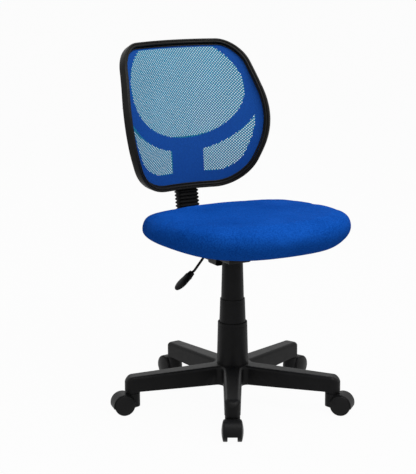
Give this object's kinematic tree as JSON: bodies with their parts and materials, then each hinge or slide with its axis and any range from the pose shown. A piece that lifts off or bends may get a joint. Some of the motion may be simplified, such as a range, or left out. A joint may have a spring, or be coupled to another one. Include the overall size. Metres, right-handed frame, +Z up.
{
  "type": "swivel office chair",
  "caption": "Swivel task chair with a padded seat, a curved mesh back on a bent upright, a lever-released gas lift in telescopic sleeves and a star base on twin-wheel casters.",
  "frame": {"origin": "on the lift axis at floor level", "axes": "+Z up, the sitter faces -Y, +X to the sitter's left"},
  "size_m": [0.5802, 0.5953, 0.8539],
  "materials": {
    "black_plastic": "satin moulded nylon",
    "wheel_plastic": "smooth moulded nylon",
    "black_steel": "black powder coat",
    "bright_steel": "zinc plated",
    "chromed_steel": "ground and chromed",
    "guide_plastic": "natural moulded",
    "black_rubber": "matt moulded",
    "plywood": "raw plywood",
    "blue_fabric": "woven upholstery",
    "black_cloth": "thin nonwoven",
    "blue_mesh": "open woven mesh",
    "cord_plastic": "smooth extruded"
  },
  "bodies": {
    "base": {"base_star": "black_plastic", "hub_sleeve": "bright_steel", "column_tube": "black_steel", "guide_bush": "guide_plastic", "bearing_race_lower": "bright_steel", "bearing_balls": "bright_steel", "cover_lower": "black_plastic", "grip_rings": "bright_steel"},
    "spindle": {"piston_rod": "chromed_steel", "bearing_race_upper": "bright_steel", "bump_stop": "black_rubber", "rod_clip": "bright_steel"},
    "seat": {"gas_cylinder": "black_steel", "cover_upper": "black_plastic", "taper_socket": "black_steel", "seat_housing": "black_steel", "seat_plate": "black_steel", "lever_pin": "bright_steel", "seat_board": "plywood", "seat_cushion": "blue_fabric", "dust_cover": "black_cloth", "seat_bolts": "bright_steel", "tee_nuts": "bright_steel", "back_bar": "black_steel", "bar_bolts": "bright_steel", "back_boot": "black_rubber", "back_frame": "black_plastic", "back_mesh": "blue_mesh", "mesh_cord": "cord_plastic", "back_bolts": "bright_steel"},
    "sleeve": {"cover_middle": "black_plastic"},
    "lever": {"lever_rod": "black_steel", "lever_paddle": "black_plastic"},
    "button": {"release_button": "guide_plastic"},
    "caster_1": {"caster_hood_1": "black_plastic", "caster_stem_1": "bright_steel", "caster_axle_1": "bright_steel"},
    "wheel_1_left": {"caster_wheel_1_left": "wheel_plastic"},
    "wheel_1_right": {"caster_wheel_1_right": "wheel_plastic"},
    "caster_2": {"caster_hood_2": "black_plastic", "caster_stem_2": "bright_steel", "caster_axle_2": "bright_steel"},
    "wheel_2_left": {"caster_wheel_2_left": "wheel_plastic"},
    "wheel_2_right": {"caster_wheel_2_right": "wheel_plastic"},
    "caster_3": {"caster_hood_3": "black_plastic", "caster_stem_3": "bright_steel", "caster_axle_3": "bright_steel"},
    "wheel_3_left": {"caster_wheel_3_left": "wheel_plastic"},
    "wheel_3_right": {"caster_wheel_3_right": "wheel_plastic"},
    "caster_4": {"caster_hood_4": "black_plastic", "caster_stem_4": "bright_steel", "caster_axle_4": "bright_steel"},
    "wheel_4_left": {"caster_wheel_4_left": "wheel_plastic"},
    "wheel_4_right": {"caster_wheel_4_right": "wheel_plastic"},
    "caster_5": {"caster_hood_5": "black_plastic", "caster_stem_5": "bright_steel", "caster_axle_5": "bright_steel"},
    "wheel_5_left": {"caster_wheel_5_left": "wheel_plastic"},
    "wheel_5_right": {"caster_wheel_5_right": "wheel_plastic"}
  },
  "joints": [
    {"name": "seat_swivel", "type": "hinge", "parent": "base", "child": "spindle", "pos_m": [0, 0, 0.05], "axis": [0, 0, 1], "continuous": true},
    {"name": "seat_lift", "type": "slide", "parent": "spindle", "child": "seat", "axis": [0, 0, 1], "range_m": [-0.0792, 0.0224]},
    {"name": "sleeve_slide", "type": "slide", "parent": "base", "child": "sleeve", "axis": [0, 0, 1], "range_m": [-0.0396, 0.0112]},
    {"name": "lever_lift", "type": "hinge", "parent": "seat", "child": "lever", "pos_m": [-0.022, 0, 0.4013], "axis": [0, 1, 0], "range_deg": [0, 8]},
    {"name": "button_press", "type": "slide", "parent": "seat", "child": "button", "axis": [0, 0, -1], "range_m": [0, 0.0036]},
    {"name": "caster_swivel_1", "type": "hinge", "parent": "base", "child": "caster_1", "pos_m": [-0.12525, -0.21694, 0.05], "axis": [0, 0, 1], "continuous": true},
    {"name": "wheel_spin_1_left", "type": "hinge", "parent": "caster_1", "child": "wheel_1_left", "pos_m": [-0.137, -0.23729, 0.0245], "axis": [0.866, -0.5, 0], "continuous": true},
    {"name": "wheel_spin_1_right", "type": "hinge", "parent": "caster_1", "child": "wheel_1_right", "pos_m": [-0.137, -0.23729, 0.0245], "axis": [0.866, -0.5, 0], "continuous": true},
    {"name": "caster_swivel_2", "type": "hinge", "parent": "base", "child": "caster_2", "pos_m": [0.16762, -0.18616, 0.05], "axis": [0, 0, 1], "continuous": true},
    {"name": "wheel_spin_2_left", "type": "hinge", "parent": "caster_2", "child": "wheel_2_left", "pos_m": [0.18334, -0.20362, 0.0245], "axis": [0.7431, 0.6691, 0], "continuous": true},
    {"name": "wheel_spin_2_right", "type": "hinge", "parent": "caster_2", "child": "wheel_2_right", "pos_m": [0.18334, -0.20362, 0.0245], "axis": [0.7431, 0.6691, 0], "continuous": true},
    {"name": "caster_swivel_3", "type": "hinge", "parent": "base", "child": "caster_3", "pos_m": [0.22884, 0.10189, 0.05], "axis": [0, 0, 1], "continuous": true},
    {"name": "wheel_spin_3_left", "type": "hinge", "parent": "caster_3", "child": "wheel_3_left", "pos_m": [0.25031, 0.11145, 0.0245], "axis": [-0.4067, 0.9135, 0], "continuous": true},
    {"name": "wheel_spin_3_right", "type": "hinge", "parent": "caster_3", "child": "wheel_3_right", "pos_m": [0.25031, 0.11145, 0.0245], "axis": [-0.4067, 0.9135, 0], "continuous": true},
    {"name": "caster_swivel_4", "type": "hinge", "parent": "base", "child": "caster_4", "pos_m": [-0.02618, 0.24913, 0.05], "axis": [0, 0, 1], "continuous": true},
    {"name": "wheel_spin_4_left", "type": "hinge", "parent": "caster_4", "child": "wheel_4_left", "pos_m": [-0.02864, 0.2725, 0.0245], "axis": [-0.9945, -0.1045, 0], "continuous": true},
    {"name": "wheel_spin_4_right", "type": "hinge", "parent": "caster_4", "child": "wheel_4_right", "pos_m": [-0.02864, 0.2725, 0.0245], "axis": [-0.9945, -0.1045, 0], "continuous": true},
    {"name": "caster_swivel_5", "type": "hinge", "parent": "base", "child": "caster_5", "pos_m": [-0.24503, 0.05208, 0.05], "axis": [0, 0, 1], "continuous": true},
    {"name": "wheel_spin_5_left", "type": "hinge", "parent": "caster_5", "child": "wheel_5_left", "pos_m": [-0.26801, 0.05697, 0.0245], "axis": [-0.2079, -0.9781, 0], "continuous": true},
    {"name": "wheel_spin_5_right", "type": "hinge", "parent": "caster_5", "child": "wheel_5_right", "pos_m": [-0.26801, 0.05697, 0.0245], "axis": [-0.2079, -0.9781, 0], "continuous": true}
  ],
  "couplings": [
    {"joint": "sleeve_slide", "follows": "seat_lift", "ratio": 0.5},
    {"joint": "button_press", "follows": "lever_lift", "m_per_rad": 0.02578}
  ]
}
